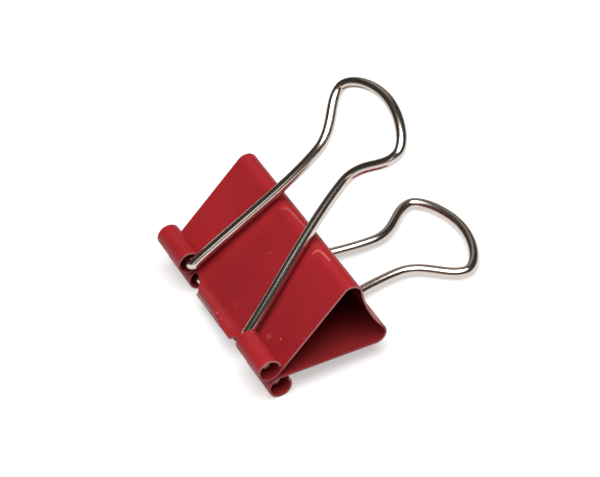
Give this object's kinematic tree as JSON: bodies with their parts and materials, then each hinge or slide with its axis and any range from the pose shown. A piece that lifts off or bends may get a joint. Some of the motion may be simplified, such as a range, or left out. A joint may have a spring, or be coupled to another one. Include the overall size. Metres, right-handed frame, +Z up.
{
  "type": "foldback paper clip",
  "caption": "Foldback clip of folded red sheet steel that springs open at its lips, with folding wire handles that lever the jaws apart.",
  "frame": {"origin": "centre of the clip's outline on the surface that it lies on", "axes": "+X along the knuckles, +Y from the lips towards the handle loops, +Z up from the desk, with the clip lying on its lower side"},
  "size_m": [0.051, 0.0624, 0.0453],
  "materials": {
    "red_paint": "smooth satin enamel on spring steel, with paler rims along its cut edges",
    "nickel_wire": "bright nickel plated steel wire"
  },
  "bodies": {
    "spine": {"spine": "red_paint"},
    "upper_jaw": {"upper_jaw": "red_paint"},
    "lower_jaw": {"lower_jaw": "red_paint"},
    "upper_handle": {"upper_handle": "nickel_wire"},
    "lower_handle": {"lower_handle": "nickel_wire"}
  },
  "joints": [
    {"name": "upper_jaw_opening", "type": "hinge", "parent": "spine", "child": "upper_jaw", "pos_m": [0, -0.00737, 0.02151], "axis": [-1, 0, 0], "range_deg": [0, 28], "stiffness_Nm_per_rad": 1.5},
    {"name": "lower_jaw_opening", "type": "hinge", "parent": "spine", "child": "lower_jaw", "pos_m": [0, -0.00171, 0.00508], "axis": [1, 0, 0], "range_deg": [0, 28], "stiffness_Nm_per_rad": 1.5},
    {"name": "upper_handle_swing", "type": "hinge", "parent": "upper_jaw", "child": "upper_handle", "pos_m": [0, -0.02852, 0.00802], "axis": [1, 0, 0], "range_deg": [0, 160]},
    {"name": "lower_handle_swing", "type": "hinge", "parent": "lower_jaw", "child": "lower_handle", "pos_m": [0, -0.02668, 0.00267], "axis": [-1, 0, 0], "range_deg": [0, 160]}
  ],
  "couplings": [
    {"joint": "lower_jaw_opening", "follows": "upper_jaw_opening", "ratio": 1}
  ]
}
